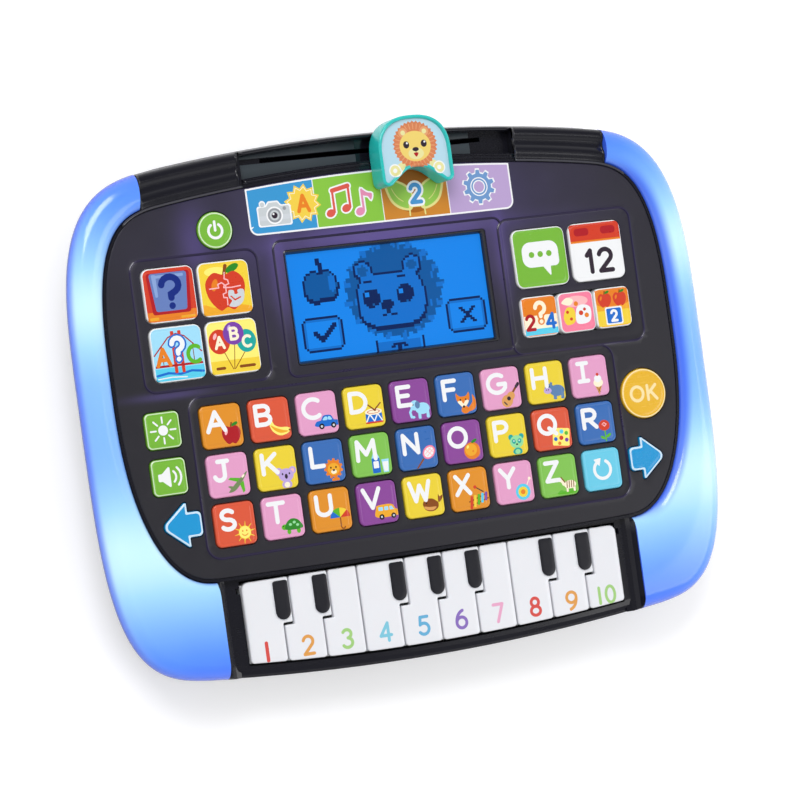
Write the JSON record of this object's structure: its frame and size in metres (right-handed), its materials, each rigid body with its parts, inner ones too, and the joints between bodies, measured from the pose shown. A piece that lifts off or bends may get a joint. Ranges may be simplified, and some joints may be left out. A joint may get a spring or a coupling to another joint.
{
  "type": "toy learning tablet",
  "caption": "Flat toy learning tablet with printed letter and picture keys, a small blue screen, glowing side bands, a short piano keyboard and a sliding mode selector.",
  "frame": {"origin": "on the flat underside, below the middle of the keypad face", "axes": "+X to the right of the keypad, +Y towards the top edge with the mode slider, +Z out of the keypad face"},
  "size_m": [0.2406, 0.1901, 0.038],
  "materials": {
    "case_black": "satin gloss moulded ABS",
    "case_grey": "fine spark texture",
    "panel_film": "printed film, satin, with a purple tint round the screen",
    "light_band": "frosted translucent plastic, lit blue from inside",
    "slider_teal": "gloss teal with a printed sticker",
    "button_green": "satin, white printed symbol",
    "button_blue": "satin, white printed outline",
    "button_amber": "satin, white printed outline",
    "app_keys": "satin, printed pictures",
    "screen": "clear window over a backlit blue dot matrix",
    "key_rubber": "matt moulded silicone",
    "circuit_board": "green solder mask",
    "speaker_steel": "pressed steel with a paper cone",
    "cell_jacket": "plain steel jacket with a printed sleeve",
    "contact_steel": "nickel plated",
    "screw_steel": "zinc plated",
    "rod_steel": "ground",
    "piano_white": "gloss white with a black raised pad and a printed number",
    "key_orange": "satin, printed picture and letter under a thin clear coat",
    "key_red": "satin, printed picture and letter under a thin clear coat",
    "key_pink": "satin, printed picture and letter under a thin clear coat",
    "key_yellow": "satin, printed picture and letter under a thin clear coat",
    "key_purple": "satin, printed picture and letter under a thin clear coat",
    "key_blue": "satin, printed picture and letter under a thin clear coat",
    "key_green": "satin, printed picture and letter under a thin clear coat",
    "key_sky": "satin, printed picture and letter under a thin clear coat"
  },
  "bodies": {
    "case": {"front_case": "case_black", "rear_case": "case_grey", "face_panel": "panel_film", "left_light_band": "light_band", "right_light_band": "light_band", "lcd_module": "screen", "key_membrane": "key_rubber", "main_board": "circuit_board", "speaker": "speaker_steel", "battery_door": "case_grey", "batteries": "cell_jacket", "battery_contacts": "contact_steel", "screws": "screw_steel", "piano_hinge_rod": "rod_steel"},
    "mode_slider": {"mode_slider": "slider_teal"},
    "piano_key_1": {"piano_key_1": "piano_white"},
    "piano_key_2": {"piano_key_2": "piano_white"},
    "piano_key_3": {"piano_key_3": "piano_white"},
    "piano_key_4": {"piano_key_4": "piano_white"},
    "piano_key_5": {"piano_key_5": "piano_white"},
    "piano_key_6": {"piano_key_6": "piano_white"},
    "piano_key_7": {"piano_key_7": "piano_white"},
    "piano_key_8": {"piano_key_8": "piano_white"},
    "piano_key_9": {"piano_key_9": "piano_white"},
    "piano_key_10": {"piano_key_10": "piano_white"},
    "power_button": {"power_button": "button_green"},
    "brightness_button": {"brightness_button": "button_green"},
    "volume_button": {"volume_button": "button_green"},
    "left_arrow_button": {"left_arrow_button": "button_blue"},
    "right_arrow_button": {"right_arrow_button": "button_blue"},
    "ok_button": {"ok_button": "button_amber"},
    "left_app_keys": {"left_app_keys": "app_keys"},
    "right_app_keys": {"right_app_keys": "app_keys"},
    "letter_key_a": {"letter_key_a": "key_orange"},
    "letter_key_b": {"letter_key_b": "key_red"},
    "letter_key_c": {"letter_key_c": "key_pink"},
    "letter_key_d": {"letter_key_d": "key_yellow"},
    "letter_key_e": {"letter_key_e": "key_purple"},
    "letter_key_f": {"letter_key_f": "key_blue"},
    "letter_key_g": {"letter_key_g": "key_pink"},
    "letter_key_h": {"letter_key_h": "key_yellow"},
    "letter_key_i": {"letter_key_i": "key_pink"},
    "letter_key_j": {"letter_key_j": "key_pink"},
    "letter_key_k": {"letter_key_k": "key_yellow"},
    "letter_key_l": {"letter_key_l": "key_blue"},
    "letter_key_m": {"letter_key_m": "key_green"},
    "letter_key_n": {"letter_key_n": "key_blue"},
    "letter_key_o": {"letter_key_o": "key_purple"},
    "letter_key_p": {"letter_key_p": "key_yellow"},
    "letter_key_q": {"letter_key_q": "key_red"},
    "letter_key_r": {"letter_key_r": "key_blue"},
    "letter_key_s": {"letter_key_s": "key_red"},
    "letter_key_t": {"letter_key_t": "key_pink"},
    "letter_key_u": {"letter_key_u": "key_orange"},
    "letter_key_v": {"letter_key_v": "key_purple"},
    "letter_key_w": {"letter_key_w": "key_yellow"},
    "letter_key_x": {"letter_key_x": "key_orange"},
    "letter_key_y": {"letter_key_y": "key_pink"},
    "letter_key_z": {"letter_key_z": "key_green"},
    "repeat_key": {"repeat_key": "key_sky"}
  },
  "joints": [
    {"name": "mode_slide", "type": "slide", "parent": "case", "child": "mode_slider", "axis": [1, 0, 0], "range_m": [-0.0494, 0.0274]},
    {"name": "piano_1_press", "type": "hinge", "parent": "case", "child": "piano_key_1", "pos_m": [0, -0.0593, 0.0192], "axis": [1, 0, 0], "range_deg": [0, 3.5], "stiffness_Nm_per_rad": 0.05},
    {"name": "piano_2_press", "type": "hinge", "parent": "case", "child": "piano_key_2", "pos_m": [0, -0.0593, 0.0192], "axis": [1, 0, 0], "range_deg": [0, 3.5], "stiffness_Nm_per_rad": 0.05},
    {"name": "piano_3_press", "type": "hinge", "parent": "case", "child": "piano_key_3", "pos_m": [0, -0.0593, 0.0192], "axis": [1, 0, 0], "range_deg": [0, 3.5], "stiffness_Nm_per_rad": 0.05},
    {"name": "piano_4_press", "type": "hinge", "parent": "case", "child": "piano_key_4", "pos_m": [0, -0.0593, 0.0192], "axis": [1, 0, 0], "range_deg": [0, 3.5], "stiffness_Nm_per_rad": 0.05},
    {"name": "piano_5_press", "type": "hinge", "parent": "case", "child": "piano_key_5", "pos_m": [0, -0.0593, 0.0192], "axis": [1, 0, 0], "range_deg": [0, 3.5], "stiffness_Nm_per_rad": 0.05},
    {"name": "piano_6_press", "type": "hinge", "parent": "case", "child": "piano_key_6", "pos_m": [0, -0.0593, 0.0192], "axis": [1, 0, 0], "range_deg": [0, 3.5], "stiffness_Nm_per_rad": 0.05},
    {"name": "piano_7_press", "type": "hinge", "parent": "case", "child": "piano_key_7", "pos_m": [0, -0.0593, 0.0192], "axis": [1, 0, 0], "range_deg": [0, 3.5], "stiffness_Nm_per_rad": 0.05},
    {"name": "piano_8_press", "type": "hinge", "parent": "case", "child": "piano_key_8", "pos_m": [0, -0.0593, 0.0192], "axis": [1, 0, 0], "range_deg": [0, 3.5], "stiffness_Nm_per_rad": 0.05},
    {"name": "piano_9_press", "type": "hinge", "parent": "case", "child": "piano_key_9", "pos_m": [0, -0.0593, 0.0192], "axis": [1, 0, 0], "range_deg": [0, 3.5], "stiffness_Nm_per_rad": 0.05},
    {"name": "piano_10_press", "type": "hinge", "parent": "case", "child": "piano_key_10", "pos_m": [0, -0.0593, 0.0192], "axis": [1, 0, 0], "range_deg": [0, 3.5], "stiffness_Nm_per_rad": 0.05},
    {"name": "power_press", "type": "slide", "parent": "case", "child": "power_button", "axis": [0, 0, -1], "range_m": [0, 0.0008], "stiffness_N_per_m": 600},
    {"name": "brightness_press", "type": "slide", "parent": "case", "child": "brightness_button", "axis": [0, 0, -1], "range_m": [0, 0.0008], "stiffness_N_per_m": 600},
    {"name": "volume_press", "type": "slide", "parent": "case", "child": "volume_button", "axis": [0, 0, -1], "range_m": [0, 0.0008], "stiffness_N_per_m": 600},
    {"name": "left_arrow_press", "type": "slide", "parent": "case", "child": "left_arrow_button", "axis": [0, 0, -1], "range_m": [0, 0.0008], "stiffness_N_per_m": 600},
    {"name": "right_arrow_press", "type": "slide", "parent": "case", "child": "right_arrow_button", "axis": [0, 0, -1], "range_m": [0, 0.0008], "stiffness_N_per_m": 600},
    {"name": "ok_press", "type": "slide", "parent": "case", "child": "ok_button", "axis": [0, 0, -1], "range_m": [0, 0.0008], "stiffness_N_per_m": 600},
    {"name": "left_apps_press", "type": "slide", "parent": "case", "child": "left_app_keys", "axis": [0, 0, -1], "range_m": [0, 0.0008], "stiffness_N_per_m": 600},
    {"name": "right_apps_press", "type": "slide", "parent": "case", "child": "right_app_keys", "axis": [0, 0, -1], "range_m": [0, 0.0008], "stiffness_N_per_m": 600},
    {"name": "a_press", "type": "slide", "parent": "case", "child": "letter_key_a", "axis": [0, 0, -1], "range_m": [0, 0.0008], "stiffness_N_per_m": 600},
    {"name": "b_press", "type": "slide", "parent": "case", "child": "letter_key_b", "axis": [0, 0, -1], "range_m": [0, 0.0008], "stiffness_N_per_m": 600},
    {"name": "c_press", "type": "slide", "parent": "case", "child": "letter_key_c", "axis": [0, 0, -1], "range_m": [0, 0.0008], "stiffness_N_per_m": 600},
    {"name": "d_press", "type": "slide", "parent": "case", "child": "letter_key_d", "axis": [0, 0, -1], "range_m": [0, 0.0008], "stiffness_N_per_m": 600},
    {"name": "e_press", "type": "slide", "parent": "case", "child": "letter_key_e", "axis": [0, 0, -1], "range_m": [0, 0.0008], "stiffness_N_per_m": 600},
    {"name": "f_press", "type": "slide", "parent": "case", "child": "letter_key_f", "axis": [0, 0, -1], "range_m": [0, 0.0008], "stiffness_N_per_m": 600},
    {"name": "g_press", "type": "slide", "parent": "case", "child": "letter_key_g", "axis": [0, 0, -1], "range_m": [0, 0.0008], "stiffness_N_per_m": 600},
    {"name": "h_press", "type": "slide", "parent": "case", "child": "letter_key_h", "axis": [0, 0, -1], "range_m": [0, 0.0008], "stiffness_N_per_m": 600},
    {"name": "i_press", "type": "slide", "parent": "case", "child": "letter_key_i", "axis": [0, 0, -1], "range_m": [0, 0.0008], "stiffness_N_per_m": 600},
    {"name": "j_press", "type": "slide", "parent": "case", "child": "letter_key_j", "axis": [0, 0, -1], "range_m": [0, 0.0008], "stiffness_N_per_m": 600},
    {"name": "k_press", "type": "slide", "parent": "case", "child": "letter_key_k", "axis": [0, 0, -1], "range_m": [0, 0.0008], "stiffness_N_per_m": 600},
    {"name": "l_press", "type": "slide", "parent": "case", "child": "letter_key_l", "axis": [0, 0, -1], "range_m": [0, 0.0008], "stiffness_N_per_m": 600},
    {"name": "m_press", "type": "slide", "parent": "case", "child": "letter_key_m", "axis": [0, 0, -1], "range_m": [0, 0.0008], "stiffness_N_per_m": 600},
    {"name": "n_press", "type": "slide", "parent": "case", "child": "letter_key_n", "axis": [0, 0, -1], "range_m": [0, 0.0008], "stiffness_N_per_m": 600},
    {"name": "o_press", "type": "slide", "parent": "case", "child": "letter_key_o", "axis": [0, 0, -1], "range_m": [0, 0.0008], "stiffness_N_per_m": 600},
    {"name": "p_press", "type": "slide", "parent": "case", "child": "letter_key_p", "axis": [0, 0, -1], "range_m": [0, 0.0008], "stiffness_N_per_m": 600},
    {"name": "q_press", "type": "slide", "parent": "case", "child": "letter_key_q", "axis": [0, 0, -1], "range_m": [0, 0.0008], "stiffness_N_per_m": 600},
    {"name": "r_press", "type": "slide", "parent": "case", "child": "letter_key_r", "axis": [0, 0, -1], "range_m": [0, 0.0008], "stiffness_N_per_m": 600},
    {"name": "s_press", "type": "slide", "parent": "case", "child": "letter_key_s", "axis": [0, 0, -1], "range_m": [0, 0.0008], "stiffness_N_per_m": 600},
    {"name": "t_press", "type": "slide", "parent": "case", "child": "letter_key_t", "axis": [0, 0, -1], "range_m": [0, 0.0008], "stiffness_N_per_m": 600},
    {"name": "u_press", "type": "slide", "parent": "case", "child": "letter_key_u", "axis": [0, 0, -1], "range_m": [0, 0.0008], "stiffness_N_per_m": 600},
    {"name": "v_press", "type": "slide", "parent": "case", "child": "letter_key_v", "axis": [0, 0, -1], "range_m": [0, 0.0008], "stiffness_N_per_m": 600},
    {"name": "w_press", "type": "slide", "parent": "case", "child": "letter_key_w", "axis": [0, 0, -1], "range_m": [0, 0.0008], "stiffness_N_per_m": 600},
    {"name": "x_press", "type": "slide", "parent": "case", "child": "letter_key_x", "axis": [0, 0, -1], "range_m": [0, 0.0008], "stiffness_N_per_m": 600},
    {"name": "y_press", "type": "slide", "parent": "case", "child": "letter_key_y", "axis": [0, 0, -1], "range_m": [0, 0.0008], "stiffness_N_per_m": 600},
    {"name": "z_press", "type": "slide", "parent": "case", "child": "letter_key_z", "axis": [0, 0, -1], "range_m": [0, 0.0008], "stiffness_N_per_m": 600},
    {"name": "repeat_press", "type": "slide", "parent": "case", "child": "repeat_key", "axis": [0, 0, -1], "range_m": [0, 0.0008], "stiffness_N_per_m": 600}
  ]
}
